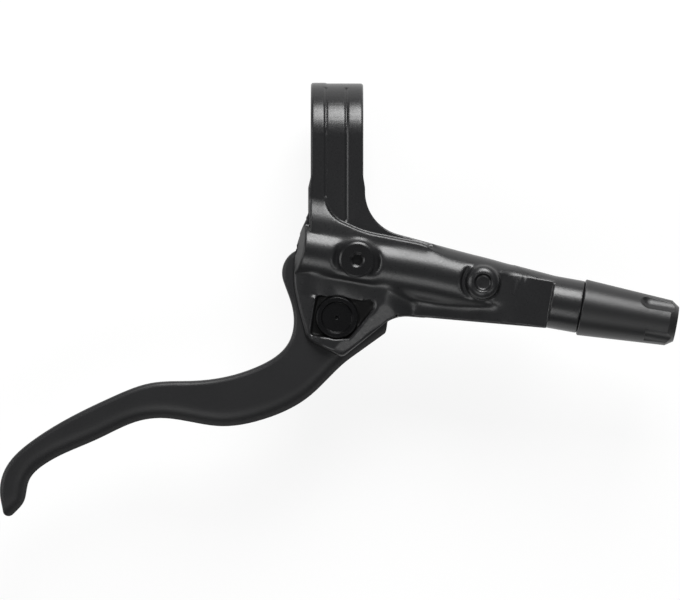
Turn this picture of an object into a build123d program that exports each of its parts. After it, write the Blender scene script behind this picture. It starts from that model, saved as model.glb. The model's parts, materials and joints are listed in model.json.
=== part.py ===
from build123d import *
import os
from math import asin, cos, degrees, radians, sin

# Hydraulic brake lever for the right-hand end of a flat bicycle handlebar. All sizes are millimetres.
# The origin is the middle of the handlebar clamp, +X runs along the bar towards the hose, -Y is forwards,
# away from the rider, and +Z is up. Places on the master cylinder are given in its own frame: s along the
# bore towards the hose, n across it towards the bar, z up. Places on the lever are given from its pivot.
os.makedirs("parts", exist_ok=True)

# Handlebar clamp
bar_diameter = 22.2
band_wall = 4.6
band_width = 15.0
band_edge = 0.7
arm_left = 8.2
arm_right = 8.0
arm_bottom = 4.6
groove_width = 0.95
groove_depth = 0.7
groove_start = 25
left_strip = 4.2
strip_rise = 0.2
right_strip = 4.7
slit_gap = 1.6
clamp_screw_radius = 3.0
clamp_screw_reach = 20.4

# Master cylinder casting
bore_tilt = 10.2
bore_offset = 34.0
bore_height = 11.4
bore_radius = 4.5
barrel_radius = 8.3
port_shift = -1.95
collar_radius = 7.5
collar_start = 62.1
cover_start = 71.0
spigot_radius = 6.6
spigot_end = 77.0
facet_height = 5.3
nose_lean = 29.5
case_top = 1.8
case_rise = 6.4
case_bottom = -12.0

# Lever and its pivot
pivot_reach = 51.4
axle_radius = 3.0
lever_thickness = 7.2
lever_side_gap = 0.2
ear_top = 6.1
ear_bottom = -7.4
ear_slope = 17.0
lever_pull = 20.0

# Running, sliding and seating clearances
running_gap = 0.03
sliding_gap = 0.02
seat_gap = 0.05

# Clamp lug and screw seat
lug_half = 6.8
lug_front = -26.0
lug_top = arm_bottom - slit_gap
lug_bottom = lug_top - 5.2
screw_seat_radius = 5.6
screw_seat_depth = 2.2
clamp_thread_depth = 6.2

# Lever slot, in the lever's own swing
root_sweep = 9.4
slot_right = 17.2
slot_end = 6.0
slot_back = 4.3

# Bore, outlet and hose port
clip_station = 9.0
clip_groove_width = 0.9
clip_groove_radius = 5.1
bore_end = 37.0
outlet_radius = 1.25
seat_station = 65.0
port_thread_radius = 4.0

# Pivot pocket and axle seats
pocket_floor = 4.9
head_seat = 4.6
clip_seat = -5.6
axle_head_radius = 5.95
axle_clip_radius = 5.0

# Bleed screw seat and dimpled boss
bleed_station = 5.8
bleed_seat = 7.0
bleed_floor = 5.2
bleed_moat_radius = 6.6
bleed_boss_radius = 5.9
bleed_thread_radius = 2.5
boss_station = 42.1
boss_radius = 4.9
boss_top = 8.9
boss_moat_floor = 6.6
dimple_radius = 2.6
dimple_depth = 1.2

# Reservoir
reservoir_middle = 38.0
reservoir_shift = -3.2
cover_length = 39.0
cover_width = 12.0
cover_recess = 2.4
well_wall = 3.2
well_width = 9.0
well_roof = -5.9
cover_screw_edge = 2.3
cover_screw_radius = 1.25
cover_screw_depth = 4.0
port_station = 25.4
dome_gap = 3.0
dome_width = 6.6
dome_height = 2.0
flange_thickness = 0.8
cover_head_radius = 2.3
cover_head_height = 1.2

# Piston, seals and return spring
piston_start = 10.7
piston_end = 24.7
cup_radius = 2.5
rear_groove = 15.9
rear_groove_width = 1.8
rear_core = 3.2
front_groove = 21.4
front_groove_width = 2.3
front_core = 3.3
spigot_core = 2.4
wire_radius = 0.4
coil_radius = 3.4
coil_turns = 6

# Hose fittings
hose_radius = 2.5
cover_front_radius = 8.05
cover_rear_radius = 6.5
cover_shoulder = 96.3
cover_end = 98.5
flute_count = 4
flute_turn = 45
flute_start = 90.0
flute_radius = 3.5
flute_reach = 9.2

bar_radius = bar_diameter / 2
band_radius = bar_radius + band_wall
half_band = band_width / 2
strip_edge = -half_band + left_strip
cover_screw_pitch = cover_length - 2 * cover_screw_edge
well_length = cover_screw_pitch - 2 * well_wall
dome_length = well_length - 2 * dome_gap
lever_half = lever_thickness / 2
slot_half = lever_half + lever_side_gap
piston_radius = bore_radius - sliding_gap

along = Vector(cos(radians(bore_tilt)), -sin(radians(bore_tilt)), 0)
across = Vector(sin(radians(bore_tilt)), cos(radians(bore_tilt)), 0)
upward = Vector(0, 0, 1)
bore_origin = Vector(0, -bore_offset, bore_height)
bore_plan = Plane(bore_origin, x_dir=along, z_dir=upward)
bore_side = Plane(bore_origin, x_dir=along, z_dir=along.cross(upward))
bore_axis = Axis(bore_origin, along)
port_origin = bore_origin + across * port_shift
port_side = Plane(port_origin, x_dir=along, z_dir=along.cross(upward))
port_axis = Axis(port_origin, along)
pivot = Vector(0, -pivot_reach, bore_height)
pivot_plan = Plane(pivot, x_dir=(1, 0, 0), z_dir=upward)
swing_plan = Plane.XY.offset(bore_height)


def section_at(s, n=0.0):
    return Plane(bore_origin + along * s + across * n, x_dir=across, z_dir=along)


# Side of the clamp: round the bar, then flat from the crest of the band towards the cylinder
def clamp_side(radius, reach):
    rim = CenterArc((0, 0), radius, 90, -270 - degrees(asin(arm_bottom / radius)))
    Polyline(rim @ 1, (-reach, arm_bottom), (-reach, radius), rim @ 0)


# Clamp band and arm, cut to their outline seen from above
with BuildPart() as clamp:
    with BuildSketch(Plane.XY.offset(-band_radius - 1)):
        with BuildLine():
            Polyline(
                (-half_band, band_radius + 1), (half_band, band_radius + 1), (half_band, -bar_radius - 0.4),
                (arm_right, -bar_radius - 3.4), (arm_right, -25.2), (30, -31.2), (30, -36), (-14, -34),
                (-arm_left, -21.8), (-arm_left, -bar_radius - 3.4), (-half_band, -bar_radius - 0.4),
                close=True,
            )
        make_face()
        fillet(vertices().sort_by_distance((arm_right, -25.2))[0], 12.5)
    extrude(amount=2 * band_radius + 2)
    with BuildSketch(Plane.YZ):
        with BuildLine():
            clamp_side(band_radius, bore_offset + 6)
        make_face()
    extrude(amount=60, both=True, mode=Mode.INTERSECT)

# Left strip of the band and arm, a little proud of the rest
with BuildPart() as strip:
    with BuildSketch(Plane.YZ.offset(-half_band)):
        with BuildLine():
            clamp_side(band_radius + strip_rise, bore_offset - 11)
        make_face()
    extrude(amount=left_strip)

# Ramp on which the strip rises to a narrow deck along the cylinder
with BuildPart() as ramp:
    with BuildSketch(Plane.XY.offset(arm_bottom)):
        with BuildLine():
            Polyline(
                (-half_band, -14), (strip_edge, -14), (strip_edge, -22.2), (7.5, -27.2), (24.5, -30.5),
                (33, -35.0), (33, -39.5), (-half_band, -32),
                close=True,
            )
        make_face()
        fillet(vertices().sort_by_distance((strip_edge, -22.2))[0], 8.2)
        fillet(vertices().sort_by_distance((7.5, -27.2))[0], 30)
        fillet(vertices().sort_by_distance((24.5, -30.5))[0], 12)
    extrude(amount=20)
    with BuildSketch(section_at(-30)):
        with BuildLine():
            level = band_radius + strip_rise - bore_height
            flank = radians(37)
            crest = (barrel_radius * sin(flank), barrel_radius * cos(flank))
            Spline(
                (17.7, level - 0.1), (15.1, level), (11.9, level + 0.9), (9.8, level + 1.55), crest,
                tangents=(Vector(-1, 0.02).normalized(), Vector(-1, 0.12).normalized()),
                tangent_scalars=(1, 1),
            )
            Polyline(crest, (0, 5), (0, -6), (17.7, -6), (17.7, level - 0.1))
        make_face()
    extrude(amount=66, mode=Mode.INTERSECT)
    deck = ramp.faces().filter_by(GeomType.EXTRUSION).sort_by(SortBy.AREA)[-1]
    fillet(deck.edges().sort_by_distance((16, -28.9, 17.8))[0], 0.4)

# Ears that carry the pivot, one block until the lever slot is cut, sloping off beside the pivot pocket
with BuildPart() as ears:
    with BuildSketch(swing_plan.offset(ear_bottom)):
        with BuildLine():
            Polyline(
                (-15, -36), (-15, -55.2), (1.4, -63.0), (16.5, -50.9), (25, -51.6), (25, -40), (0, -36),
                close=True,
            )
        make_face()
        fillet(vertices().sort_by_distance((1.4, -63.0))[0], 2.6)
        fillet(vertices().sort_by_distance((16.5, -50.9))[0], 10)
    extrude(amount=ear_top - ear_bottom)
    with BuildSketch(bore_side):
        with BuildLine():
            Polyline((14.5, ear_top + 0.4), (25.5, case_top - 0.6), (34, case_top - 0.6), (34, 9), (14.5, 9),
                     close=True)
        make_face()
    extrude(amount=40, both=True, mode=Mode.SUBTRACT)
    for corner, heading in (((11.1, -47.3), -43), ((-6.3, -45.6), 189)):
        outwards = Vector(cos(radians(heading)), sin(radians(heading)), 0)
        tilted = upward * cos(radians(ear_slope)) + outwards * sin(radians(ear_slope))
        hinge_line = swing_plan.from_local_coords((corner[0], corner[1], ear_top))
        split(bisect_by=Plane(hinge_line, z_dir=tilted), keep=Keep.BOTTOM)
    fillet(ears.edges().sort_by_distance(swing_plan.from_local_coords((15.5, -48.4, 4.9)))[0], 5)
    fillet(ears.edges().sort_by_distance(swing_plan.from_local_coords((9.0, -57.0, 4.6)))[0], 0.5)

# Reservoir case along the front and underside of the cylinder
with BuildPart() as case:
    with BuildSketch(bore_plan.offset(case_bottom)):
        with BuildLine():
            Polyline((14, -14.0), (collar_start, -9.6), (collar_start, 4), (14, 6), close=True)
        make_face()
    extrude(amount=case_rise - case_bottom)
    fillet(case.faces().sort_by(Axis.Z)[0].edges(), 2.0)
    with BuildSketch(bore_side):
        with BuildLine():
            Polyline((10, case_top), (29, case_top), (52, case_rise), (52, 12), (10, 12), close=True)
        make_face()
        fillet(vertices().sort_by_distance((29, case_top))[0], 20)
    extrude(amount=40, both=True, mode=Mode.SUBTRACT)

# What is trimmed from the left end and from the lower left corner of the ears, seen from above
with BuildSketch() as nose:
    with BuildLine():
        ThreePointArc((-8.6, -23.2), (-12.45, -36), (-11.7, -46))
        Polyline(
            (-11.7, -46), (-8.75, -58.1), (1.2, -62.9), (1.2, -75), (-40, -75), (-40, -23.2), (-8.6, -23.2)
        )
    make_face()
    fillet(vertices().sort_by_distance((-8.75, -58.1))[0], 4.5)

with BuildPart() as lever_body:
    # Cylinder, then a taper that shifts over to the hose port, then the round collar
    with BuildSketch(section_at(-14)):
        Circle(barrel_radius)
    extrude(amount=14 + 28)
    with BuildSketch(section_at(28)):
        Circle(barrel_radius)
    with BuildSketch(section_at(collar_start, port_shift)):
        Circle(collar_radius)
    loft(ruled=True)
    with BuildSketch(section_at(collar_start, port_shift)):
        Circle(collar_radius)
    extrude(amount=cover_start - 0.15 - collar_start)
    with BuildSketch(section_at(collar_start, port_shift)):
        Circle(spigot_radius)
    extrude(amount=spigot_end - collar_start)
    add(clamp.part)
    add(strip.part)
    add(ramp.part)
    add(ears.part)
    add(case.part)
    # Left end, trimmed to a shallow curve whose walls lean inwards above and below the lever slot
    lean = radians(nose_lean)
    for side in (1, -1):
        with BuildSketch(swing_plan.offset(side * slot_half)):
            add(nose.sketch)
        extrude(amount=8, dir=(sin(lean), 0, side * cos(lean)), mode=Mode.SUBTRACT)
    with BuildSketch(swing_plan.offset(-slot_half)):
        add(nose.sketch)
    extrude(amount=2 * slot_half, mode=Mode.SUBTRACT)

    # Flat facet on top of the taper and the case beside it, ramped gently up to the cylinder
    with BuildSketch(bore_side):
        with BuildLine():
            Polyline(
                (collar_start, facet_height), (50.5, facet_height), (36.0, 9.2), (36.0, 11.0),
                (collar_start, 11.0),
                close=True,
            )
        make_face()
        fillet(vertices().sort_by_distance((50.5, facet_height))[0], 25)
    extrude(amount=20, both=True, mode=Mode.SUBTRACT)

    # Clamp lug under the arm, parted from it by the slit
    with BuildSketch(Plane.XY.offset(lug_bottom)):
        with BuildLine():
            Polyline(
                (-lug_half, -5), (lug_half, -5), (lug_half, lug_front), (-lug_half, lug_front),
                close=True,
            )
        make_face()
        fillet(vertices().group_by(Axis.Y)[0], 4.5)
    extrude(amount=lug_top - lug_bottom)
    with BuildSketch(Plane.YZ):
        Circle(bar_radius)
    extrude(amount=2 * band_width, both=True, mode=Mode.SUBTRACT)
    with Locations((0, -12.5, arm_bottom - slit_gap / 2)):
        Box(2 * band_width, 9.0, slit_gap, mode=Mode.SUBTRACT)

    # Two grooves over the band and along the arm, one flank of each leaning
    for groove_x, groove_reach, top, lean_side in (
        (strip_edge, 17.2, band_radius + strip_rise, 1), (half_band - right_strip, 24.0, band_radius, -1)
    ):
        groove_side = Plane.YZ.offset(groove_x)
        with BuildLine(groove_side):
            over = CenterArc((0, 0), top, groove_start, 90 - groove_start)
            Line((0, top), (-groove_reach, top))
        with BuildSketch(Plane(over @ 0, x_dir=(1, 0, 0), z_dir=over % 0)):
            with BuildLine():
                half = lean_side * groove_width / 2
                Polyline((-half, 0), (half, -groove_depth), (half, 0.5), (-half, 0.5), close=True)
            make_face()
        sweep(mode=Mode.SUBTRACT)

    # Rounded rims of the band, from under its far side over the crest
    for rim_x, top, out in ((-half_band, band_radius + strip_rise, -1), (half_band, band_radius, 1)):
        with BuildLine(Plane.YZ.offset(rim_x)):
            over = CenterArc((0, 0), top, -70, 160)
            Line((0, top), (-bar_radius, top))
        with BuildSketch(Plane(over @ 0, x_dir=(1, 0, 0), z_dir=over % 0)):
            with BuildLine():
                inset = band_edge * (1 - cos(radians(45)))
                ThreePointArc((-out * band_edge, 0), (-out * inset, -inset), (0, -band_edge))
                Polyline(
                    (0, -band_edge), (out, -band_edge), (out, 1), (-out * band_edge, 1), (-out * band_edge, 0)
                )
            make_face()
        sweep(mode=Mode.SUBTRACT)

    # Clamp screw: clearance and head seat in the lug, thread in the arm
    with Locations((0, -clamp_screw_reach, lug_bottom)):
        Cylinder(screw_seat_radius, 2 * screw_seat_depth, mode=Mode.SUBTRACT)
        Cylinder(clamp_screw_radius + 0.25, 2 * (lug_top - lug_bottom) + 1.0, mode=Mode.SUBTRACT)
    with Locations((0, -clamp_screw_reach, arm_bottom)):
        Cylinder(clamp_screw_radius + seat_gap, 2 * clamp_thread_depth, mode=Mode.SUBTRACT)

    # Slot for the lever root: round the pivot, round the hump that drives the push rod, open to the left
    with BuildSketch(swing_plan):
        with Locations((0, -pivot_reach)):
            Circle(root_sweep)
        with BuildLine():
            Polyline(
                (-40, -pivot_reach - 30), (slot_right, -pivot_reach - 30), (slot_right, -pivot_reach + 1.5),
                (7.5, -pivot_reach + 5), (-40, -pivot_reach + 5),
                close=True,
            )
        make_face()
        with BuildLine():
            Polyline(
                *[swing_plan.to_local_coords(bore_plan.from_local_coords(corner)) for corner in (
                    (slot_end, -20), (slot_end, slot_back), (-40, slot_back), (-40, -20)
                )],
                close=True,
            )
        make_face()
    extrude(amount=slot_half, both=True, mode=Mode.SUBTRACT)

    # Bore with its clip groove, outlet drilling and hose port
    with BuildSketch(bore_side):
        with BuildLine():
            Polyline(
                (slot_end - 8, 0), (slot_end - 8, bore_radius), (clip_station, bore_radius),
                (clip_station, clip_groove_radius), (clip_station + clip_groove_width, clip_groove_radius),
                (clip_station + clip_groove_width, bore_radius), (bore_end, bore_radius), (bore_end, 0),
                close=True,
            )
        make_face()
    revolve(axis=bore_axis, mode=Mode.SUBTRACT)
    with BuildSketch(port_side):
        with BuildLine():
            Polyline(
                (bore_end - 1, 0), (bore_end - 1, outlet_radius), (seat_station, outlet_radius),
                (seat_station + port_thread_radius - outlet_radius, port_thread_radius),
                (spigot_end + 1, port_thread_radius), (spigot_end + 1, 0),
                close=True,
            )
        make_face()
    revolve(axis=port_axis, mode=Mode.SUBTRACT)

    # Pivot: hole through both ears, three-cornered pocket and head seat above, clip seat below
    with BuildSketch(pivot_plan.offset(pocket_floor)):
        with BuildLine():
            Polyline((-5.9, 6.4), (12.2, 4.3), (3.4, -6.2), (-7.9, -5.2), close=True)
        make_face()
        fillet(vertices(), 1.2)
    extrude(amount=6, mode=Mode.SUBTRACT)
    with BuildSketch(pivot_plan.offset(head_seat)):
        Circle(axle_head_radius + 0.25)
    extrude(amount=6, mode=Mode.SUBTRACT)
    with BuildSketch(pivot_plan.offset(clip_seat)):
        Circle(axle_clip_radius + 0.4)
    extrude(amount=-6, mode=Mode.SUBTRACT)
    with Locations(pivot):
        Cylinder(axle_radius + seat_gap, 40, mode=Mode.SUBTRACT)

    # Bleed screw seat on the crest of the cylinder
    with BuildSketch(bore_plan.offset(bleed_seat)):
        with Locations((bleed_station, 0)):
            Circle(bleed_moat_radius)
    extrude(amount=4, mode=Mode.SUBTRACT)
    with BuildSketch(bore_plan.offset(bleed_floor)):
        with Locations((bleed_station, 0)):
            Circle(bleed_boss_radius)
    extrude(amount=bleed_seat - bleed_floor)
    with BuildSketch(bore_plan.offset(bleed_floor)):
        with Locations((bleed_station, 0)):
            Circle(bleed_thread_radius + seat_gap)
    extrude(amount=4, mode=Mode.SUBTRACT)

    # Dimpled casting boss over the end of the bore
    with BuildSketch(bore_plan.offset(boss_moat_floor)):
        with Locations((boss_station, 0)):
            Circle(boss_radius + 1.4)
    extrude(amount=4, mode=Mode.SUBTRACT)
    boss_middle = bore_origin + along * boss_station
    with BuildSketch(Plane(boss_middle, x_dir=along, z_dir=along.cross(upward))):
        with BuildLine():
            shoulder = ThreePointArc(
                (boss_radius, boss_top - 1.6), (boss_radius - 0.95, boss_top - 0.5),
                (dimple_radius, boss_top),
            )
            dimple_floor = boss_top - dimple_depth
            Polyline(
                shoulder @ 1, (dimple_radius - 0.15, boss_top - 0.12), (dimple_radius - 0.3, dimple_floor),
                (0, dimple_floor), (0, 2), (boss_radius, 2), shoulder @ 0,
            )
        make_face()
    revolve(axis=Axis(boss_middle, upward))

    # Reservoir under the cylinder: cover recess, well, cover screw holes and the port into the bore
    with BuildSketch(bore_plan.offset(case_bottom)):
        with Locations((reservoir_middle, reservoir_shift)):
            SlotOverall(cover_length + 2 * seat_gap, cover_width + 2 * seat_gap)
    extrude(amount=cover_recess, mode=Mode.SUBTRACT)
    with BuildSketch(bore_plan.offset(case_bottom)):
        with Locations((reservoir_middle, reservoir_shift)):
            SlotOverall(well_length, well_width)
    extrude(amount=well_roof - case_bottom, mode=Mode.SUBTRACT)
    with BuildSketch(bore_plan.offset(case_bottom)):
        with Locations((reservoir_middle, reservoir_shift)):
            with GridLocations(cover_screw_pitch, 0, 2, 1):
                Circle(cover_screw_radius + seat_gap)
    extrude(amount=cover_recess + cover_screw_depth, mode=Mode.SUBTRACT)
    with BuildSketch(bore_plan.offset(well_roof - 1)):
        with Locations((port_station, reservoir_shift + 2.4)):
            Circle(0.5)
    extrude(amount=-well_roof, mode=Mode.SUBTRACT)

lever_body.part.label = "lever_body"
export_step(lever_body.part, "parts/lever_body.step")

# Clamp screw with a hex socket, and the washer under its head
washer_thickness = 1.0
screw_head_height = 4.0
screw_head_radius = 5.0
washer_face = lug_bottom + screw_seat_depth - washer_thickness
with BuildPart() as clamp_washer:
    with BuildSketch(Plane.XY.offset(washer_face)):
        with Locations((0, -clamp_screw_reach)):
            Circle(screw_head_radius + 0.3)
            Circle(clamp_screw_radius + 0.2, mode=Mode.SUBTRACT)
    extrude(amount=washer_thickness)
    chamfer(clamp_washer.edges().group_by(Axis.Z)[0], 0.2)
clamp_washer.part.label = "clamp_washer"
export_step(clamp_washer.part, "parts/clamp_washer.step")

with BuildPart() as clamp_screw:
    with BuildSketch(Plane.XY.offset(washer_face)):
        with Locations((0, -clamp_screw_reach)):
            Circle(screw_head_radius)
    extrude(amount=-screw_head_height)
    fillet(clamp_screw.edges().group_by(Axis.Z)[0], 0.8)
    with BuildSketch(Plane.XY.offset(washer_face)):
        with Locations((0, -clamp_screw_reach)):
            Circle(clamp_screw_radius)
    extrude(amount=arm_bottom + clamp_thread_depth - 0.4 - washer_face)
    chamfer(clamp_screw.edges().group_by(Axis.Z)[-1], 0.6)
    with BuildSketch(Plane.XY.offset(washer_face - screw_head_height)):
        with Locations((0, -clamp_screw_reach)):
            RegularPolygon(2.5, 6, major_radius=False)
    extrude(amount=2.6, mode=Mode.SUBTRACT)
clamp_screw.part.label = "clamp_screw"
export_step(clamp_screw.part, "parts/clamp_screw.step")

# Bleed screw with a hex socket, and its O-ring in a groove under the head
bleed_head_radius = 5.1
bleed_head_height = 1.9
bleed_top = bleed_seat + bleed_head_height
ring_radius = 0.5
with BuildPart() as bleed_screw:
    with BuildSketch(Plane(bore_origin + along * bleed_station, x_dir=along, z_dir=along.cross(upward))):
        with BuildLine():
            Polyline(
                (0, bleed_floor + 0.3), (bleed_thread_radius, bleed_floor + 0.3),
                (bleed_thread_radius, bleed_seat), (bleed_head_radius, bleed_seat),
                (bleed_head_radius, bleed_top - 0.32), (bleed_head_radius - 0.6, bleed_top), (0, bleed_top),
                close=True,
            )
        make_face()
    revolve(axis=Axis(bore_origin + along * bleed_station, upward))
    with BuildSketch(bore_plan.offset(bleed_top)):
        with Locations((bleed_station, 0)):
            RegularPolygon(1.5, 6, major_radius=False)
    extrude(amount=-1.8, mode=Mode.SUBTRACT)
    with BuildSketch(bore_plan.offset(bleed_top)):
        with Locations((bleed_station, 0)):
            Circle(2.2)
    extrude(amount=-0.3, taper=60, mode=Mode.SUBTRACT)
    with BuildSketch(bore_plan.offset(bleed_seat)):
        with Locations((bleed_station, 0)):
            Circle(bleed_thread_radius + 2 * ring_radius + 0.5)
            Circle(bleed_thread_radius, mode=Mode.SUBTRACT)
    extrude(amount=2 * ring_radius - 0.05, mode=Mode.SUBTRACT)
bleed_screw.part.label = "bleed_screw"
export_step(bleed_screw.part, "parts/bleed_screw.step")

with BuildPart() as bleed_ring:
    with Locations(bore_plan.offset(bleed_seat + ring_radius - 0.025)):
        with Locations((bleed_station, 0, 0)):
            Torus(bleed_thread_radius + ring_radius + 0.1, ring_radius - 0.03)
bleed_ring.part.label = "bleed_ring"
export_step(bleed_ring.part, "parts/bleed_ring.step")

# Pivot axle with a dished head above and a clip groove below
axle_head_height = 1.3
clip_thickness = 0.8
clip_top = clip_seat - 0.05
clip_core = axle_radius - 0.7
clip_gap_end = clip_top - clip_thickness - 0.05
with BuildPart() as pivot_axle:
    with BuildSketch(Plane(pivot, x_dir=(1, 0, 0), z_dir=(0, -1, 0))):
        with BuildLine():
            Polyline(
                (0, ear_bottom + 0.1), (axle_radius - 0.5, ear_bottom + 0.1), (axle_radius, ear_bottom + 0.6),
                (axle_radius, clip_gap_end), (clip_core, clip_gap_end),
                (clip_core, clip_top), (axle_radius, clip_top), (axle_radius, head_seat),
                (axle_head_radius, head_seat), (axle_head_radius, head_seat + axle_head_height - 0.35),
                (axle_head_radius - 0.35, head_seat + axle_head_height), (4.55, head_seat + axle_head_height),
                (4.2, head_seat + axle_head_height - 0.6), (0.6, head_seat + axle_head_height - 0.6),
                (0, head_seat + axle_head_height - 1.2),
                close=True,
            )
        make_face()
    revolve(axis=Axis(pivot, upward))
pivot_axle.part.label = "pivot_axle"
export_step(pivot_axle.part, "parts/pivot_axle.step")

with BuildPart() as axle_clip:
    with BuildSketch(pivot_plan.offset(clip_top - clip_thickness)):
        Circle(axle_clip_radius)
        Circle(clip_core + seat_gap, mode=Mode.SUBTRACT)
        with Locations((0, -5)):
            Rectangle(2 * clip_core, 10, mode=Mode.SUBTRACT)
    extrude(amount=clip_thickness)
axle_clip.part.label = "axle_clip"
export_step(axle_clip.part, "parts/axle_clip.step")

# Push rod geometry: the cross barrel turns in the lever's hump, the ball end pushes the piston
barrel_place = (-8.2, 14.8)
ball_station = 12.5
ball_radius = 2.2
rod_radius = 2.0
cross_radius = 3.0
bush_radius = 4.0
rim_radius = 1.4
roll_width = 5.2
roll_edge = 1.0
rod_slot_half = 2.3
key_hole_radius = 1.6
cross_half = 3.4
rod_tail = 2.2
shank_radius = 1.7
neck_radius = 1.3
rod_start = pivot + Vector(barrel_place[0], barrel_place[1], 0)
rod_end = bore_origin + along * ball_station
rod_length = (rod_end - rod_start).length
rod_along = (rod_end - rod_start).normalized()
rod_side = Plane(rod_start, x_dir=rod_along, z_dir=rod_along.cross(upward))
rod_plan = Plane(rod_start, x_dir=rod_along, z_dir=upward)

# Lever blade: one smooth outline in the swing plane, rounded along both rims
with BuildPart() as lever_blade:
    with BuildSketch(pivot_plan.offset(-lever_half)):
        with BuildLine():
            hump_arc = ThreePointArc((-1.6, 11.2), (-8.9, 19.73), (-15.3, 10.4))
            bar_side = Spline(
                hump_arc @ 1, (-12.5, 1.6), (-13.7, -7.0), (-23.1, -14.2), (-41.3, -18.1), (-53.0, -18.7),
                (-64.0, -22.6), (-86.9, -35.2), (-94.4, -43.0), (-95.95, -50.5), (-95.1, -55.2),
                tangents=(hump_arc % 1, Vector(0.15, -1).normalized()),
                tangent_scalars=(1, 1),
            )
            tip_arc = TangentArc(bar_side @ 1, (-92.3, -56.1), tangent=bar_side % 1)
            finger_side = Spline(
                tip_arc @ 1, (-89.3, -52.6), (-87.9, -46.8), (-83.2, -41.8), (-68.0, -34.6), (-56.0, -29.4),
                (-50.0, -28.7), (-33.3, -31.0), (-20.8, -29.0), (-8.0, -22.6), (3.85, -11.6),
                tangents=(tip_arc % 1, Vector(10.05, 7.2).normalized()),
                tangent_scalars=(1, 1),
            )
            Polyline(finger_side @ 1, (13.9, -4.4), (14.6, -0.2), (7.6, 3.0), (2.7, 7.8), hump_arc @ 0)
        make_face()
        for corner in ((13.9, -4.4), (14.6, -0.2), (7.6, 3.0), (2.7, 7.8), (-1.6, 11.2)):
            fillet(vertices().sort_by_distance(corner)[0], 1.6)
    extrude(amount=lever_thickness)
    fillet(lever_blade.faces().sort_by(Axis.Z)[-1].edges(), rim_radius)
    fillet(lever_blade.faces().sort_by(Axis.Z)[0].edges(), rim_radius)
    # Finger side, rolled off to a narrow edge by a section swept along the outline
    edge_line = pivot_plan.from_local_coords(finger_side)
    lead_in = edge_line % 0
    roll_start = (edge_line @ 0) - lead_in * 3
    with BuildLine():
        Line(roll_start, edge_line @ 0)
        add(edge_line)
        Line(edge_line @ 1, (edge_line @ 1) + (edge_line % 1) * 14)
    with BuildSketch(Plane(roll_start, x_dir=lead_in.cross(upward), z_dir=lead_in)):
        with BuildLine():
            Spline(
                (1.0, 0.2), (0, roll_edge), (-1.6, 2.55), (-roll_width, lever_half),
                tangents=(Vector(-1, 0.5).normalized(), Vector(-1, 0)),
                tangent_scalars=(1, 1),
            )
            Polyline(
                (-roll_width, lever_half), (-roll_width, lever_half + 1), (1.0, lever_half + 1), (1.0, 0.2)
            )
        make_face()
        mirror(about=Plane.XZ)
    sweep(mode=Mode.SUBTRACT)
    # Bush hole, cross barrel hole, slot in which the push rod swings, and the hole for its hex key
    with Locations(pivot):
        Cylinder(bush_radius + sliding_gap, 20, mode=Mode.SUBTRACT)
    with Locations(rod_start):
        Cylinder(cross_radius, 20, mode=Mode.SUBTRACT)
    with BuildSketch(rod_plan):
        with BuildLine():
            Polyline((0, -rod_slot_half), (14, -rod_slot_half), (14, 6.0), (0, rod_slot_half), close=True)
        make_face()
    extrude(amount=rod_slot_half, both=True, mode=Mode.SUBTRACT)
    with BuildSketch(Plane(rod_start, x_dir=upward, z_dir=-rod_along)):
        Circle(key_hole_radius)
    extrude(amount=12, mode=Mode.SUBTRACT)
lever_blade.part.label = "lever_blade"
export_step(lever_blade.part, "parts/lever_blade.step")

# Two plain bushes pressed into the lever from above and below
for name, side in (("pivot_bush_upper", 1), ("pivot_bush_lower", -1)):
    with BuildPart() as pivot_bush:
        with BuildSketch(pivot_plan.offset(side * 0.1)):
            Circle(bush_radius)
            Circle(axle_radius + running_gap, mode=Mode.SUBTRACT)
        extrude(amount=side * (lever_half - 0.1))
    pivot_bush.part.label = name
    export_step(pivot_bush.part, "parts/" + name + ".step")

# Cross barrel, drilled through for the push rod
with BuildPart() as cross_barrel:
    with Locations(rod_start):
        Cylinder(cross_radius - running_gap, 2 * cross_half)
    chamfer(cross_barrel.edges().filter_by(GeomType.CIRCLE), 0.3)
    with BuildSketch(Plane(rod_start, x_dir=upward, z_dir=rod_along)):
        Circle(rod_radius + running_gap)
    extrude(amount=10, both=True, mode=Mode.SUBTRACT)
cross_barrel.part.label = "cross_barrel"
export_step(cross_barrel.part, "parts/cross_barrel.step")

# Push rod: threaded end in the cross barrel with a hex socket, necked shank and ball
with BuildPart() as push_rod:
    with BuildSketch(rod_side):
        with BuildLine():
            Polyline(
                (-rod_tail, 0), (-rod_tail, rod_radius - 0.3), (0.3 - rod_tail, rod_radius),
                (8.5, rod_radius), (8.9, shank_radius), (rod_length - 4.4, shank_radius),
                (rod_length - 3.4, neck_radius), (rod_length, neck_radius), (rod_length, 0),
                close=True,
            )
        make_face()
    revolve(axis=Axis(rod_start, rod_along))
    with Locations(rod_end):
        Sphere(ball_radius)
    with BuildSketch(Plane(rod_start - rod_along * rod_tail, x_dir=upward, z_dir=rod_along)):
        RegularPolygon(1.0, 6, major_radius=False)
    extrude(amount=2.2, mode=Mode.SUBTRACT)
push_rod.part.label = "push_rod"
export_step(push_rod.part, "parts/push_rod.step")

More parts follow.
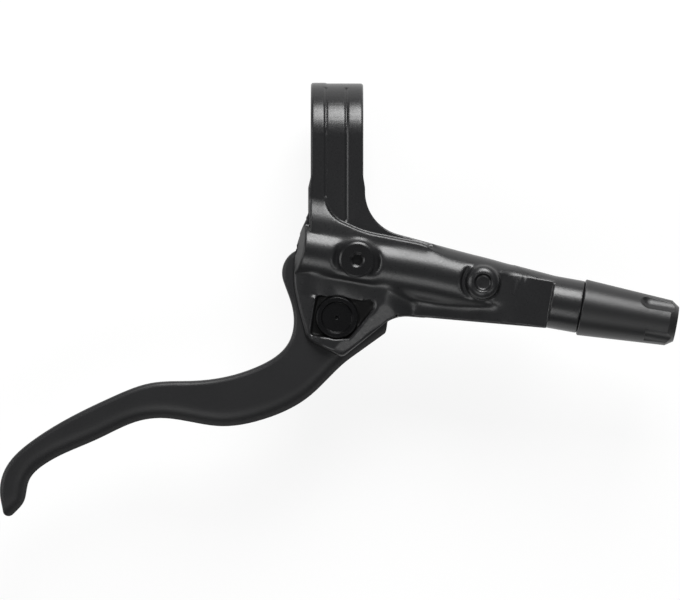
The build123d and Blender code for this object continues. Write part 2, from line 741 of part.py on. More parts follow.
# Piston: cup for the ball, a groove for each seal and a spigot inside the spring
rear_groove_end = rear_groove + rear_groove_width
front_groove_end = front_groove + front_groove_width
with BuildPart() as piston:
    with BuildSketch(bore_side):
        with BuildLine():
            Polyline(
                (piston_start, 0), (piston_start, piston_radius - 0.3), (piston_start + 0.3, piston_radius),
                (rear_groove, piston_radius), (rear_groove, rear_core),
                (rear_groove_end, rear_core), (rear_groove_end, piston_radius),
                (front_groove, piston_radius), (front_groove, front_core),
                (front_groove_end, front_core), (front_groove_end, piston_radius),
                (piston_end, piston_radius), (piston_end, spigot_core), (piston_end + 3.6, spigot_core),
                (piston_end + 4.0, spigot_core - 0.4), (piston_end + 4.0, 0),
                close=True,
            )
        make_face()
    revolve(axis=bore_axis)
    with Locations(rod_end):
        Sphere(cup_radius, mode=Mode.SUBTRACT)
    with BuildSketch(section_at(ball_station)):
        Circle(cup_radius)
    extrude(amount=-5, mode=Mode.SUBTRACT)
piston.part.label = "piston"
export_step(piston.part, "parts/piston.step")

# Front seal with a lip towards the fluid, plain rear seal
with BuildPart() as primary_seal:
    with BuildSketch(bore_side):
        with BuildLine():
            lip = front_groove_end - 0.1
            Polyline(
                (front_groove + 0.1, front_core + 0.03), (lip, front_core + 0.03), (lip, front_core + 0.3),
                (lip - 0.9, front_core + 0.55), (lip, piston_radius - 0.3), (lip, piston_radius),
                (lip - 1.2, piston_radius - 0.06), (front_groove + 0.1, piston_radius - 0.06),
                close=True,
            )
        make_face()
    revolve(axis=bore_axis)
primary_seal.part.label = "primary_seal"
export_step(primary_seal.part, "parts/primary_seal.step")

with BuildPart() as secondary_seal:
    with BuildSketch(bore_side):
        with BuildLine():
            ring_end = rear_groove_end - 0.1
            Polyline(
                (rear_groove + 0.1, rear_core + 0.03), (ring_end, rear_core + 0.03),
                (ring_end, piston_radius), (ring_end - 0.5, piston_radius),
                (rear_groove + 0.1, piston_radius - 0.25),
                close=True,
            )
        make_face()
    revolve(axis=bore_axis)
secondary_seal.part.label = "secondary_seal"
export_step(secondary_seal.part, "parts/secondary_seal.step")

# Return spring between the piston and the end of the bore
coil_start = piston_end + wire_radius + seat_gap
coil_length = bore_end - wire_radius - seat_gap - coil_start
with BuildPart() as return_spring:
    with BuildLine() as coil:
        Helix(
            coil_length / coil_turns, coil_length, coil_radius,
            center=bore_origin + along * coil_start, direction=along,
        )
    with BuildSketch(Plane(coil.line @ 0, z_dir=coil.line % 0)):
        Circle(wire_radius)
    sweep(path=coil.line, is_frenet=True)
return_spring.part.label = "return_spring"
export_step(return_spring.part, "parts/return_spring.step")

# Snap ring and washer that keep the piston in the bore
with BuildPart() as piston_clip:
    with BuildSketch(section_at(clip_station + seat_gap)):
        Circle(clip_groove_radius - seat_gap)
        Circle(3.6, mode=Mode.SUBTRACT)
        with Locations((-5, 0)):
            Rectangle(10, 3.0, mode=Mode.SUBTRACT)
    extrude(amount=clip_groove_width - 2 * seat_gap)
piston_clip.part.label = "piston_clip"
export_step(piston_clip.part, "parts/piston_clip.step")

with BuildPart() as stop_washer:
    with BuildSketch(section_at(clip_station + clip_groove_width)):
        Circle(bore_radius - seat_gap)
        Circle(3.2, mode=Mode.SUBTRACT)
    extrude(amount=piston_start - 0.1 - clip_station - clip_groove_width)
stop_washer.part.label = "stop_washer"
export_step(stop_washer.part, "parts/stop_washer.step")

# Hose fittings: hollow connecting bolt, olive in the port and the fluted cover over both
bolt_start = 70.0
bolt_end = 82.5
with BuildPart() as connecting_bolt:
    with BuildSketch(section_at(bolt_start, port_shift)):
        Circle(port_thread_radius - seat_gap)
        Circle(hose_radius + 0.1, mode=Mode.SUBTRACT)
    extrude(amount=spigot_end - bolt_start)
    with BuildSketch(section_at(spigot_end, port_shift)):
        RegularPolygon(4.5, 6, major_radius=False)
        Circle(hose_radius + 0.1, mode=Mode.SUBTRACT)
    extrude(amount=bolt_end - spigot_end)
connecting_bolt.part.label = "connecting_bolt"
export_step(connecting_bolt.part, "parts/connecting_bolt.step")

with BuildPart() as hose_olive:
    with BuildSketch(port_side):
        with BuildLine():
            Polyline(
                (67.5, hose_radius + seat_gap), (67.5, 3.0), (68.3, 3.7), (69.2, 3.7), (69.9, 3.1),
                (69.9, hose_radius + seat_gap),
                close=True,
            )
        make_face()
    revolve(axis=port_axis)
hose_olive.part.label = "hose_olive"
export_step(hose_olive.part, "parts/hose_olive.step")

with BuildPart() as hose_cover:
    with BuildSketch(port_side):
        with BuildLine():
            Polyline(
                (cover_start, spigot_radius + seat_gap), (cover_start, cover_front_radius - 0.3),
                (cover_start + 0.3, cover_front_radius), (cover_shoulder, cover_rear_radius),
                (cover_end, cover_rear_radius - 1.5), (cover_end, hose_radius + 0.15),
                (90, hose_radius + 0.15), (84.5, 6.4), (spigot_end + 0.3, 6.4),
                (spigot_end + 0.3, spigot_radius + seat_gap),
                close=True,
            )
        make_face()
    revolve(axis=port_axis)
    with Locations(section_at(flute_start, port_shift)):
        with PolarLocations(flute_reach, flute_count, start_angle=flute_turn):
            Sphere(flute_radius, mode=Mode.SUBTRACT)
            Cylinder(
                flute_radius, 12, align=(Align.CENTER, Align.CENTER, Align.MIN), mode=Mode.SUBTRACT
            )
hose_cover.part.label = "hose_cover"
export_step(hose_cover.part, "parts/hose_cover.step")

# Rubber diaphragm, cover plate and screws that close the reservoir from below
recess_floor = case_bottom + cover_recess
cover_thickness = cover_recess - flange_thickness
with BuildPart() as reservoir_diaphragm:
    with BuildSketch(bore_plan.offset(recess_floor - flange_thickness)):
        with Locations((reservoir_middle, reservoir_shift)):
            SlotOverall(cover_length, cover_width)
            with GridLocations(cover_screw_pitch, 0, 2, 1):
                Circle(cover_screw_radius + 0.2, mode=Mode.SUBTRACT)
    extrude(amount=flange_thickness)
    with BuildSketch(bore_plan.offset(recess_floor)):
        with Locations((reservoir_middle, reservoir_shift)):
            SlotOverall(dome_length, dome_width)
    extrude(amount=dome_height)
    with BuildSketch(bore_plan.offset(recess_floor - flange_thickness)):
        with Locations((reservoir_middle, reservoir_shift)):
            SlotOverall(dome_length - 2 * flange_thickness, dome_width - 2 * flange_thickness)
    extrude(amount=dome_height, mode=Mode.SUBTRACT)
reservoir_diaphragm.part.label = "reservoir_diaphragm"
export_step(reservoir_diaphragm.part, "parts/reservoir_diaphragm.step")

with BuildPart() as reservoir_cover:
    with BuildSketch(bore_plan.offset(case_bottom)):
        with Locations((reservoir_middle, reservoir_shift)):
            SlotOverall(cover_length, cover_width)
    extrude(amount=cover_thickness)
    chamfer(reservoir_cover.faces().sort_by(Axis.Z)[0].edges(), 0.3)
    with Locations(bore_plan.offset(case_bottom)):
        with Locations((reservoir_middle, reservoir_shift, 0)):
            with GridLocations(cover_screw_pitch, 0, 2, 1):
                Cylinder(cover_screw_radius + 0.2, 2 * cover_recess, mode=Mode.SUBTRACT)
                Cone(
                    cover_head_radius + 0.1, cover_screw_radius + 0.1, cover_head_height,
                    align=(Align.CENTER, Align.CENTER, Align.MIN), mode=Mode.SUBTRACT,
                )
reservoir_cover.part.label = "reservoir_cover"
export_step(reservoir_cover.part, "parts/reservoir_cover.step")

for name, side in (("cover_screw_front", -1), ("cover_screw_rear", 1)):
    with BuildPart() as cover_screw:
        with Locations(bore_plan.offset(case_bottom)):
            with Locations((reservoir_middle + side * cover_screw_pitch / 2, reservoir_shift, 0)):
                Cylinder(
                    cover_screw_radius, cover_recess + cover_screw_depth - 0.4,
                    align=(Align.CENTER, Align.CENTER, Align.MIN),
                )
                Cone(
                    cover_head_radius, cover_screw_radius, cover_head_height,
                    align=(Align.CENTER, Align.CENTER, Align.MIN),
                )
        with BuildSketch(bore_plan.offset(case_bottom)):
            with Locations((reservoir_middle + side * cover_screw_pitch / 2, reservoir_shift)):
                RegularPolygon(0.75, 6, major_radius=False)
        extrude(amount=1.1, mode=Mode.SUBTRACT)
    cover_screw.part.label = name
    export_step(cover_screw.part, "parts/" + name + ".step")
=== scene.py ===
import json
import math
import bmesh
import bpy
import numpy as np
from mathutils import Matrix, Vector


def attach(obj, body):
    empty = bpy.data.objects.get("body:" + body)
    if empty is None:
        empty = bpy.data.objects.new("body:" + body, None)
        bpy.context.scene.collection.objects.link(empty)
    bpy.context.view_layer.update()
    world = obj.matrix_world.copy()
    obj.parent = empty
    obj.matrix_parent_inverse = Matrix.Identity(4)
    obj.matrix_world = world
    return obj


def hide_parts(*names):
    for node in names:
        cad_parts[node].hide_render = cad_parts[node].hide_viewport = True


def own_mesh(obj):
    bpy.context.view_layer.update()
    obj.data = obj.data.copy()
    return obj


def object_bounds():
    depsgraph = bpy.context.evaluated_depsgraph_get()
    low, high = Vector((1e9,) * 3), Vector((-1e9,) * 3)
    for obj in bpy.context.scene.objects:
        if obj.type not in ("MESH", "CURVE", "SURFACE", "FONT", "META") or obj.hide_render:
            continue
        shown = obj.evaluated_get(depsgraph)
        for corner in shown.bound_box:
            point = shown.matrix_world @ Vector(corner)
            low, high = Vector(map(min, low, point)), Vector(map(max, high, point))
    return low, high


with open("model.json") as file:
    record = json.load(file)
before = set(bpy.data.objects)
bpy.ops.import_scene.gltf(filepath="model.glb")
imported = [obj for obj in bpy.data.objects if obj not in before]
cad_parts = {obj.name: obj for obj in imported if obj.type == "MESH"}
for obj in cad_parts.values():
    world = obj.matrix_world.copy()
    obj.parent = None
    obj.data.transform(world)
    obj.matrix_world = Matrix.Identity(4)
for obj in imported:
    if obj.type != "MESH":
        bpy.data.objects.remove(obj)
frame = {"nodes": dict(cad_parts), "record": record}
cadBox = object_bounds()
print("frame loaded:", len(frame["nodes"]), "nodes")

mmPerMetre = 1000


# sRGB hex to linear, the one place where colours are turned
def linear(hexColour):
    channels = [int(hexColour[i:i + 2], 16) / 255 for i in (1, 3, 5)]
    return tuple(c / 12.92 if c <= 0.04045 else ((c + 0.055) / 1.055) ** 2.4 for c in channels) + (1.0,)


# adds one node, sets its values and links its inputs
def addNode(tree, kind, values=None, links=None, **settings):
    node = tree.nodes.new(kind)
    for name, value in settings.items():
        setattr(node, name, value)
    for socket, value in (values or {}).items():
        node.inputs[socket].default_value = value
    for socket, source in (links or {}).items():
        tree.links.new(source, node.inputs[socket])
    return node


def newMaterial(name):
    material = bpy.data.materials.new(name)
    material.use_nodes = True
    material.node_tree.nodes.clear()
    return material, material.node_tree


def addObject(name, data):
    thing = bpy.data.objects.new(name, data)
    bpy.context.scene.collection.objects.link(thing)
    return thing


# what all coats share: how finely the noise breaks up, and the part of its range that the roughness follows
coatGrain = {
    "cloudDetail": 3.0, "gritDetail": 2.0, "gritRoughness": 0.6, "gritSpan": (0.3, 0.7), "edgeSamples": 6,
}


# one coat: cloudy colour, fine grit in the roughness, a bump of the same grit, and softly rounded edges
def makeCoat(look):
    material, tree = newMaterial(look["name"])
    place = addNode(tree, "ShaderNodeTexCoord").outputs["Object"]
    clouds = addNode(
        tree, "ShaderNodeTexNoise",
        {"Scale": mmPerMetre / look["cloudMm"], "Detail": coatGrain["cloudDetail"]},
        {"Vector": place},
    )
    grit = addNode(
        tree, "ShaderNodeTexNoise",
        {
            "Scale": mmPerMetre / look["gritMm"], "Detail": coatGrain["gritDetail"],
            "Roughness": coatGrain["gritRoughness"],
        },
        {"Vector": place},
    )
    colour = addNode(tree, "ShaderNodeMix", None, {0: clouds.outputs["Fac"]}, data_type="RGBA")
    # the mix node has a socket A and B for each kind of value, so the colour pair goes in by index
    colour.inputs[6].default_value = linear(look["dark"])
    colour.inputs[7].default_value = linear(look["light"])
    gritLow, gritHigh = coatGrain["gritSpan"]
    low, high = look["roughness"]
    rough = addNode(
        tree, "ShaderNodeMapRange",
        {"From Min": gritLow, "From Max": gritHigh, "To Min": low, "To Max": high},
        {"Value": grit.outputs["Fac"]},
    )
    edge = addNode(
        tree, "ShaderNodeBevel", {"Radius": look["edgeMm"] / mmPerMetre}, samples=coatGrain["edgeSamples"],
    )
    bump = addNode(
        tree, "ShaderNodeBump", {"Strength": look["bump"], "Distance": look["depthMm"] / mmPerMetre},
        {"Height": grit.outputs["Fac"], "Normal": edge.outputs["Normal"]},
    )
    shader = addNode(
        tree, "ShaderNodeBsdfPrincipled",
        {"Metallic": look["metallic"], "Specular IOR Level": look["specular"]},
        {
            "Base Color": colour.outputs[2], "Roughness": rough.outputs["Result"],
            "Normal": bump.outputs["Normal"],
        },
    )
    addNode(tree, "ShaderNodeOutputMaterial", None, {"Surface": shader.outputs["BSDF"]})
    return material


# satin black paint on the cast aluminium body: a soft sheen that breaks up a little over the casting's skin
castPaint = {
    "name": "satinBlackPaintOnCastAluminium", "dark": "#131314", "light": "#1a1a1b",
    "cloudMm": 9.0, "gritMm": 0.45, "roughness": (0.27, 0.36), "bump": 0.12, "depthMm": 0.05,
    "metallic": 0.0, "specular": 0.5, "edgeMm": 0.5,
}
# painted shade in the pocket round the axle: a darker, duller coat than the paint around it, standing in for
# the shadow of a deep pocket
pocketPaintedShade = {
    "name": "paintedShadeInPocket", "dark": "#060606", "light": "#0a0a0a",
    "cloudMm": 5.0, "gritMm": 0.35, "roughness": (0.45, 0.55), "bump": 0.12, "depthMm": 0.04,
    "metallic": 0.0, "specular": 0.12, "edgeMm": 0.2,
}
# matt black powder coat on the forged blade: fine even grit, no mirror at all
bladeCoat = {
    "name": "mattBlackCoatOnForgedAluminium", "dark": "#161617", "light": "#1d1d1e",
    "cloudMm": 12.0, "gritMm": 0.35, "roughness": (0.38, 0.48), "bump": 0.18, "depthMm": 0.05,
    "metallic": 0.0, "specular": 0.35, "edgeMm": 0.4,
}
# moulded nylon cover: spark-eroded mould skin, darker than the paint and with a broader sheen
coverNylon = {
    "name": "mouldedBlackNylon", "dark": "#0c0c0d", "light": "#121213",
    "cloudMm": 7.0, "gritMm": 0.4, "roughness": (0.36, 0.44), "bump": 0.14, "depthMm": 0.05,
    "metallic": 0.0, "specular": 0.55, "edgeMm": 0.35,
}
# black oxide on turned steel: dark and slightly oily
oxideSteel = {
    "name": "blackOxideOnTurnedSteel", "dark": "#070708", "light": "#0e0e0f",
    "cloudMm": 3.0, "gritMm": 0.3, "roughness": (0.26, 0.34), "bump": 0.08, "depthMm": 0.03,
    "metallic": 0.3, "specular": 0.35, "edgeMm": 0.2,
}
# black anodised aluminium: even, with the faint grain of the bar under the dye
blackAnodise = {
    "name": "blackAnodisedAluminium", "dark": "#0c0c0d", "light": "#141415",
    "cloudMm": 4.0, "gritMm": 0.25, "roughness": (0.26, 0.34), "bump": 0.08, "depthMm": 0.03,
    "metallic": 0.2, "specular": 0.5, "edgeMm": 0.2,
}
# clear anodised aluminium of the piston: pale and even, a little softer than bare metal
clearAnodise = {
    "name": "clearAnodisedAluminium", "dark": "#a9abad", "light": "#bfc1c3",
    "cloudMm": 4.0, "gritMm": 0.25, "roughness": (0.25, 0.33), "bump": 0.05, "depthMm": 0.02,
    "metallic": 1.0, "specular": 0.5, "edgeMm": 0.15,
}
# turned steel of the rod, washers and bolt: mid grey and fairly bright
turnedSteel = {
    "name": "turnedSteel", "dark": "#8f9091", "light": "#a8a9aa",
    "cloudMm": 2.5, "gritMm": 0.2, "roughness": (0.22, 0.32), "bump": 0.06, "depthMm": 0.02,
    "metallic": 1.0, "specular": 0.5, "edgeMm": 0.15,
}
# drawn spring wire and stamped clips: darker than the turned steel
springSteel = {
    "name": "drawnSpringSteel", "dark": "#77787a", "light": "#919294",
    "cloudMm": 1.5, "gritMm": 0.2, "roughness": (0.25, 0.35), "bump": 0.06, "depthMm": 0.02,
    "metallic": 1.0, "specular": 0.5, "edgeMm": 0.1,
}
# turned bronze of the bushes and the olive: a warm yellow brown
turnedBronze = {
    "name": "turnedBronze", "dark": "#9c7a3f", "light": "#b8924f",
    "cloudMm": 2.0, "gritMm": 0.2, "roughness": (0.28, 0.36), "bump": 0.06, "depthMm": 0.02,
    "metallic": 1.0, "specular": 0.5, "edgeMm": 0.1,
}
# moulded rubber of the seals: dull, with a faint bloom
sealRubber = {
    "name": "mouldedBlackRubber", "dark": "#0d0d0d", "light": "#171717",
    "cloudMm": 3.0, "gritMm": 0.3, "roughness": (0.6, 0.75), "bump": 0.15, "depthMm": 0.04,
    "metallic": 0.0, "specular": 0.4, "edgeMm": 0.15,
}

finishes = {
    "cast_body": makeCoat(castPaint),
    "lever_alloy": makeCoat(bladeCoat),
    "cover_plastic": makeCoat(coverNylon),
    "black_steel": makeCoat(oxideSteel),
    "bleed_alloy": makeCoat(blackAnodise),
    "piston_alloy": makeCoat(clearAnodise),
    "plain_steel": makeCoat(turnedSteel),
    "spring_steel": makeCoat(springSteel),
    "bush_bronze": makeCoat(turnedBronze),
    "seal_rubber": makeCoat(sealRubber),
}
slotOf = {entry["node"]: entry["material_slot"] for entry in frame["record"]["subparts"]}
for node, thing in frame["nodes"].items():
    if not thing.material_slots:
        thing.data.materials.append(finishes[slotOf[node]])
    for slot in thing.material_slots:
        slot.material = finishes[slotOf[node]]
print("finishes made:", len(finishes))

# the bore of the cylinder, which the casting's skin follows
bore = {"startMm": (0.0, -34.0, 11.4), "tiltDegrees": 10.2}
lean = math.radians(bore["tiltDegrees"])

# the casting as it leaves its mould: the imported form, with valleys and edges run together on the upper side
# s runs along the bore, n across it towards the bar and z up, in mm from the start of the bore
# a pair is where a fade starts and ends, unless its line says otherwise
castSkin = {
    "voxelMm": 0.22, "mergeMm": 1e-4, "keep": 0.17,  # cells of the skin, and the part of them that is kept
    "pull": 0.8, "skinRounds": 2, "blendRounds": 130,
    "earShare": 0.36, "firmShare": 0.08,  # how much the ear and the firm places blend
    "barrelMm": 8.3,
    "boreMm": 4.5, "boreWallMm": 2.0, "boreRoomMm": 0.15, "boreCoreMm": 3.0, "boreSpanMm": (-12.0, 36.0),
    "slotMm": 4.0, "slotFadeMm": 0.6, "backFadeMm": (-1.0, 2.0),
    "deckRiseMm": 0.5, "deckSideMm": -4.0,
    "valleyMm": (-11.4, -6.4), "valleyFloorMm": (4.7, 5.35),  # n and height of the valley's two sides
    "valleyEndsMm": (-9.5, 0.0, 10.0, 17.0), "creaseMm": (-9.0, -8.0, -5.5, -4.5),  # fades in, then out
    "pivotMm": (0.0, -51.4), "pocketMm": 8.5, "pocketFadeMm": 2.5, "pocketReachMm": 15.0,
    "pocketEdgeMm": -46.1, "pocketEdgeSlope": -0.09,
    "pocketFloorMm": 4.9, "pocketBandMm": (-0.4, 0.1), "pocketDropMm": 0.65, "levelFacing": 0.97,
    "pocketCornersMm": ((-6.4, -44.9), (12.0, -46.6), (3.9, -58.3), (-7.6, -57.2)),
    "pocketRimMm": 5.0, "pocketBelowMm": 0.1,
    "noseMm": (-7.0, -4.5),
    "bossMm": (42.1, 6.0, 9.0),  # place along the bore, then where the fade round it starts and ends
    "rampMm": (26.0, 57.0), "rampFrontMm": (-12.4, -9.3),  # s and n of the two ends of the front edge
    "rampStartMm": (14.0, 18.0), "rampFadeMm": (-3.0, 0.0),
    "frontFadeMm": (0.8, 2.3), "frontStartMm": (12.0, 16.0),
    "armSideMm": (4.5, 6.0), "armGrowMm": (24.0, 31.0), "armFadeMm": 2.5,  # side of the arm, and its growth
    "hoseEndMm": (55.0, 60.5),
}


# 0 below low, 1 above high and an S-curve between
def smoothStep(low, high, value):
    part = np.clip((value - low) / (high - low), 0.0, 1.0)
    return part * part * (3 - 2 * part)


# each round moves a point towards the mean of its neighbours, by its own share of the way
def relax(points, edges, share, rounds):
    edges = edges[(share[edges] > 0).any(axis=1)]
    size = len(points)
    neighbours = np.maximum(np.bincount(edges.ravel(), minlength=size), 1)[:, None]
    for _ in range(rounds):
        total = np.stack([
            np.bincount(edges[:, 0], points[edges[:, 1], axis], size)
            + np.bincount(edges[:, 1], points[edges[:, 0], axis], size)
            for axis in range(3)
        ], axis=1)
        points = points + share[:, None] * (total / neighbours - points)
    return points


# the mesh with its modifiers applied
def evaluated(thing):
    return bpy.data.meshes.new_from_object(thing.evaluated_get(bpy.context.evaluated_depsgraph_get()))


# a closed skin of even cells over a copy of a node, with its doubles merged first
def cellSkin(node, name, look):
    mesh = frame["nodes"][node].data.copy()
    shell = bmesh.new()
    shell.from_mesh(mesh)
    bmesh.ops.remove_doubles(shell, verts=shell.verts, dist=look["mergeMm"] / mmPerMetre)
    shell.to_mesh(mesh)
    shell.free()
    thing = addObject(name, mesh)
    cells = thing.modifiers.new("cells", "REMESH")
    cells.mode = "VOXEL"
    cells.voxel_size = look["voxelMm"] / mmPerMetre
    thing.data = evaluated(thing)
    thing.modifiers.clear()
    return thing


# places of the points, in mm, how far each one faces up, and the pairs that the edges join
def readSkin(mesh):
    points = np.empty(len(mesh.vertices) * 3)
    mesh.vertices.foreach_get("co", points)
    normals = np.empty(len(mesh.vertices) * 3, dtype=np.float32)
    mesh.vertices.foreach_get("normal", normals)
    edges = np.empty(len(mesh.edges) * 2, dtype=np.int32)
    mesh.edges.foreach_get("vertices", edges)
    return points.reshape(-1, 3) * mmPerMetre, normals.reshape(-1, 3)[:, 2], edges.reshape(-1, 2)


# s, n and z of each point: its place from the start of the bore, turned by the bore's lean
def boreFrame(points):
    local = points - np.array(bore["startMm"])
    s = local[:, 0] * math.cos(lean) - local[:, 1] * math.sin(lean)
    n = local[:, 0] * math.sin(lean) + local[:, 1] * math.cos(lean)
    return s, n, local[:, 2]


# 1 along the middle of the valley, fading to 0 at both ends
def valleyFade(s, look):
    startLow, startHigh, endLow, endHigh = look["valleyEndsMm"]
    return smoothStep(startLow, startHigh, s) * (1 - smoothStep(endLow, endHigh, s))


# the deck beside the barrel sinks to a slanting floor, or to the barrel's round side where that is higher,
# and rises again to the pocket
def sinkValley(points, s, n, z, look):
    barrelTop = np.sqrt(np.clip(look["barrelMm"] ** 2 - n ** 2, 0.0, None))
    valley = np.interp(n, look["valleyMm"], look["valleyFloorMm"])
    sunk = np.minimum(z, np.maximum(valley, barrelTop))
    pocketEdge = look["pocketEdgeMm"] + look["pocketEdgeSlope"] * points[:, 0]
    deck = (z > look["slotMm"] + look["deckRiseMm"]) & (n < look["deckSideMm"])
    deck &= (points[:, 1] > pocketEdge) & (np.hypot(n, z) > look["barrelMm"])
    points[:, 2] += np.where(deck, valleyFade(s, look) * (sunk - z), 0.0)


# the level floor round the axle's head sinks further, down to just above the lever's slot
def sinkPocket(points, facing, z, fromPivot, look):
    low, high = (look["pocketFloorMm"] + step for step in look["pocketBandMm"])
    level = (z > low) & (z < high) & (facing > look["levelFacing"])
    points[:, 2] -= look["pocketDropMm"] * (level & (fromPivot < look["pocketReachMm"]))


# barrel, ear and ramp blend on the upper side; the clamp's arm, the hose end and the inside do not
# the nose, the pocket, the boss, the front edge and the valley's crease stay firm
def blendShare(s, n, z, fromPivot, look):
    onRamp = smoothStep(*look["rampStartMm"], s)
    front = smoothStep(look["slotMm"], look["slotMm"] + look["slotFadeMm"], z)
    upper = np.where(n < 0, front, smoothStep(*look["backFadeMm"], z))
    upper = np.maximum(upper, onRamp * smoothStep(*look["rampFadeMm"], z))
    armStart, armMore = look["armSideMm"]
    armSide = armStart + armMore * smoothStep(*look["armGrowMm"], s)
    upper = upper * (1 - smoothStep(armSide, armSide + look["armFadeMm"], n))
    upper = upper * (1 - smoothStep(*look["hoseEndMm"], s))
    bossAt, bossEdge, bossClear = look["bossMm"]
    frontEdge = np.interp(s, look["rampMm"], look["rampFrontMm"])
    frontLow, frontHigh = look["frontFadeMm"]
    frontFade = smoothStep(frontEdge + frontLow, frontEdge + frontHigh, n)
    creaseLow, creaseIn, creaseOut, creaseHigh = look["creaseMm"]
    crease = valleyFade(s, look) * smoothStep(creaseLow, creaseIn, n)
    crease = crease * (1 - smoothStep(creaseOut, creaseHigh, n))
    firm = [
        smoothStep(*look["noseMm"], s),
        smoothStep(look["pocketMm"], look["pocketMm"] + look["pocketFadeMm"], fromPivot),
        smoothStep(bossEdge, bossClear, np.hypot(s - bossAt, n)),
        np.maximum(frontFade, 1 - smoothStep(*look["frontStartMm"], s)),
        1 - crease,
    ]
    outside = np.hypot(n, z) > look["boreMm"] + look["boreWallMm"]
    share = upper * (look["earShare"] + (1 - look["earShare"]) * onRamp) * outside
    for part in firm:
        share = share * (look["firmShare"] + (1 - look["firmShare"]) * part)
    return share


# the wall of the bore moves straight out from its axis, clear of the piston that slides in it
def clearBore(points, s, look):
    n, z = boreFrame(points)[1:]
    wall = np.hypot(n, z)
    room = look["boreMm"] + look["boreRoomMm"]
    spanStart, spanEnd = look["boreSpanMm"]
    inBore = (wall > look["boreCoreMm"]) & (wall < room) & (s > spanStart) & (s < spanEnd)
    grow = np.where(inBore, room / np.maximum(wall, look["boreCoreMm"]) - 1, 0.0)
    points[:, 0] += grow * n * math.sin(lean)
    points[:, 1] += grow * n * math.cos(lean)
    points[:, 2] += grow * z


# puts the moved points back, drops the cells that flat places do not need, and gives the skin its finish
def closeSkin(thing, points, keep, finish):
    thing.data.vertices.foreach_set("co", (points / mmPerMetre).ravel())
    thin = thing.modifiers.new("thin", "DECIMATE")
    thin.ratio = keep
    thing.data = evaluated(thing)
    thing.modifiers.clear()
    thing.data.shade_smooth()
    thing.data.materials.clear()
    thing.data.materials.append(finish)
    thing.data.update()


# inside the pocket's four corners the faces get painted shade, a darker and duller coat: a face is inside
# when it lies on the same side of all four lines from corner to corner
def paintPocketShade(mesh, look):
    middles = np.empty(len(mesh.polygons) * 3, dtype=np.float32)
    mesh.polygons.foreach_get("center", middles)
    middles = middles.reshape(-1, 3) * mmPerMetre
    boreHeight = bore["startMm"][2]
    shadedPocket = middles[:, 2] < boreHeight + look["pocketRimMm"]
    shadedPocket &= middles[:, 2] > boreHeight + look["slotMm"] - look["pocketBelowMm"]
    corners = np.array(look["pocketCornersMm"])
    for (ax, ay), (bx, by) in zip(corners, np.roll(corners, -1, axis=0)):
        shadedPocket &= (bx - ax) * (middles[:, 1] - ay) - (by - ay) * (middles[:, 0] - ax) < 0
    # the second finish is the painted shade: a darker, duller coat for the pocket's faces
    mesh.materials.append(makeCoat(pocketPaintedShade))
    mesh.polygons.foreach_set("material_index", shadedPocket.astype(np.int32))


def castBody(look):
    thing = cellSkin("lever_body", "castBody", look)
    points, facing, edges = readSkin(thing.data)
    s, n, z = boreFrame(points)
    fromPivot = np.hypot(points[:, 0] - look["pivotMm"][0], points[:, 1] - look["pivotMm"][1])
    sinkValley(points, s, n, z, look)
    sinkPocket(points, facing, z, fromPivot, look)
    points = relax(points, edges, np.full(len(points), look["pull"]), look["skinRounds"])
    share = look["pull"] * blendShare(s, n, z, fromPivot, look)
    points = relax(points, edges, share, look["blendRounds"])
    clearBore(points, s, look)
    closeSkin(thing, points, look["keep"], finishes["cast_body"])
    # the pocket's faces get painted shade: a darker, duller coat
    paintPocketShade(thing.data, look)
    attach(thing, "bracket")
    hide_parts("lever_body")
    return thing


skin = castBody(castSkin)
print("casting skinned:", len(skin.data.polygons), "faces")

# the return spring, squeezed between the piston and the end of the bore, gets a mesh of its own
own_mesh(frame["nodes"]["return_spring"])

# pale floor under the part, bright to the camera and to reflections, with the part's soft shadow
floorLook = {
    "dropMm": 4.0, "halfMetres": 3.0, "paper": "#f7f7f6", "glow": 0.86,
    "fibreMm": 2.5, "fibreDetail": 2.0, "fibreBump": 0.05, "fibreDepthMm": 0.2,
}


# white paper: matt with a faint fibre, and mostly plain white to the camera and in reflections
def studioPaper(look):
    material, tree = newMaterial("whiteStudioPaper")
    fibre = addNode(
        tree, "ShaderNodeTexNoise", {"Scale": mmPerMetre / look["fibreMm"], "Detail": look["fibreDetail"]},
        {"Vector": addNode(tree, "ShaderNodeTexCoord").outputs["Object"]},
    )
    bump = addNode(
        tree, "ShaderNodeBump",
        {"Strength": look["fibreBump"], "Distance": look["fibreDepthMm"] / mmPerMetre},
        {"Height": fibre.outputs["Fac"]},
    )
    matt = addNode(
        tree, "ShaderNodeBsdfDiffuse", {"Color": linear(look["paper"])}, {"Normal": bump.outputs["Normal"]},
    )
    glow = addNode(tree, "ShaderNodeEmission", {"Color": (1, 1, 1, 1), "Strength": 1.0})
    ray = addNode(tree, "ShaderNodeLightPath")
    seen = addNode(
        tree, "ShaderNodeMath", None, {0: ray.outputs["Is Camera Ray"], 1: ray.outputs["Is Glossy Ray"]},
        operation="MAXIMUM",
    )
    seenThrough = addNode(
        tree, "ShaderNodeMath", None, {0: seen.outputs[0], 1: ray.outputs["Is Transmission Ray"]},
        operation="MAXIMUM",
    )
    glowShare = addNode(
        tree, "ShaderNodeMath", {1: look["glow"]}, {0: seenThrough.outputs[0]}, operation="MULTIPLY",
    )
    mixed = addNode(
        tree, "ShaderNodeMixShader", None, {0: glowShare.outputs[0], 1: matt.outputs[0], 2: glow.outputs[0]},
    )
    addNode(tree, "ShaderNodeOutputMaterial", None, {"Surface": mixed.outputs[0]})
    return material


floorZ = cadBox[0][2] - floorLook["dropMm"] / mmPerMetre
floorCorners = np.array([[-1, -1], [1, -1], [1, 1], [-1, 1]]) * floorLook["halfMetres"]
floorMesh = bpy.data.meshes.new("studioFloor")
floorMesh.from_pydata([(x, y, floorZ) for x, y in floorCorners], [], [(0, 1, 2, 3)])
floorMesh.materials.append(studioPaper(floorLook))
floor = addObject("studioFloor", floorMesh)
print("floor laid at", round(float(floorZ) * mmPerMetre, 1), "mm")

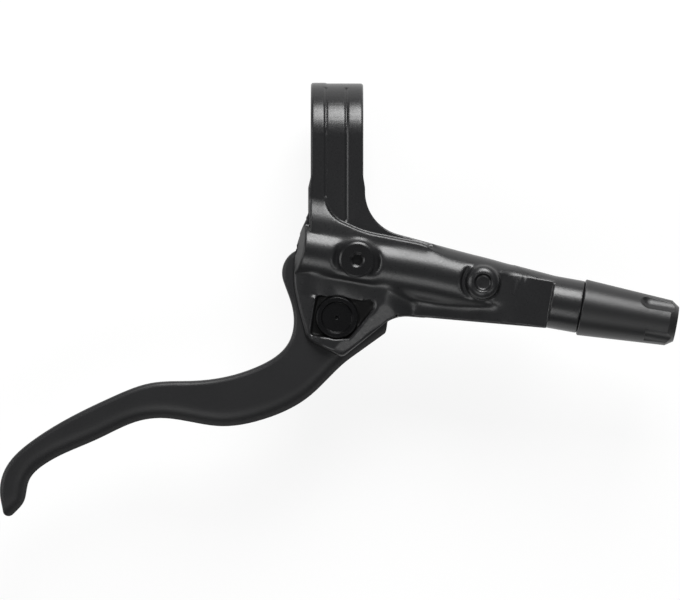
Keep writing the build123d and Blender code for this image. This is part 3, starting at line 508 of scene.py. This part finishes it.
# a strip box behind the clamp gives the bright line on every rounded top, a dim box in front the second line
# below it, a small one at the right front the pocket's rim, and one at the left the ends that face left
# the dim room above leaves the flat tops dark
lamps = [
    {"name": "stripBox", "towards": (0.14, 0.79, 0.61), "distance": 0.9, "size": (0.5, 0.48), "watts": 11.0},
    {"name": "frontBox", "towards": (-0.15, -0.62, 0.78), "distance": 1.1, "size": (0.5, 0.45), "watts": 2.3},
    {"name": "rimBox", "towards": (0.45, -0.39, 0.83), "distance": 1.0, "size": (0.2, 0.3), "watts": 0.75},
    {"name": "leftBox", "towards": (-0.85, 0.1, 0.5), "distance": 1.0, "size": (0.5, 0.5), "watts": 2.5},
]
studioRoom = {"aimMm": (0.0, -45.0, 0.0), "colour": "#c9cbce", "strength": 0.25}


# the turn that points an object's Z axis along a unit direction and keeps its X axis level
def levelTurn(zAxis):
    xAxis = np.cross((0, 0, 1), zAxis)
    xAxis = xAxis / np.linalg.norm(xAxis)
    turn = np.stack([xAxis, np.cross(zAxis, xAxis), zAxis], axis=1)
    return math.atan2(turn[2, 1], turn[2, 2]), math.asin(-turn[2, 0]), math.atan2(turn[1, 0], turn[0, 0])


for lamp in lamps:
    light = bpy.data.lights.new(lamp["name"], "AREA")
    light.shape = "RECTANGLE"
    light.size, light.size_y = lamp["size"]
    light.energy = lamp["watts"]
    towards = np.array(lamp["towards"]) / np.linalg.norm(lamp["towards"])
    holder = addObject(lamp["name"], light)
    holder.location = tuple(np.array(studioRoom["aimMm"]) / mmPerMetre + towards * lamp["distance"])
    holder.rotation_euler = levelTurn(towards)
world = bpy.data.worlds.new("studioRoom")
world.use_nodes = True
bpy.context.scene.world = world
background = world.node_tree.nodes["Background"]
background.inputs["Color"].default_value = linear(studioRoom["colour"])
background.inputs["Strength"].default_value = studioRoom["strength"]

# the photograph looks straight down on the lever, with the clamp at the top of the picture
viewFrom = {
    "mmPerPixel": 0.285, "clampPixel": (337, 137), "imagePixels": (680, 600), "planeMm": 11.4,
    "distance": 1.6, "sensorMm": 36.0, "clipEnd": 20.0,
}
wide = viewFrom["imagePixels"][0] * viewFrom["mmPerPixel"] / mmPerMetre
centreX = (viewFrom["imagePixels"][0] / 2 - viewFrom["clampPixel"][0]) * viewFrom["mmPerPixel"] / mmPerMetre
centreY = (viewFrom["clampPixel"][1] - viewFrom["imagePixels"][1] / 2) * viewFrom["mmPerPixel"] / mmPerMetre
lens = bpy.data.cameras.new("photoCamera")
lens.sensor_width = viewFrom["sensorMm"]
lens.lens = viewFrom["sensorMm"] * viewFrom["distance"] / wide
lens.clip_end = viewFrom["clipEnd"]
camera = addObject("photoCamera", lens)
camera.location = (centreX, centreY, viewFrom["planeMm"] / mmPerMetre + viewFrom["distance"])
bpy.context.scene.camera = camera
bpy.context.scene.view_settings.view_transform = "Standard"
print("camera and lamps set")
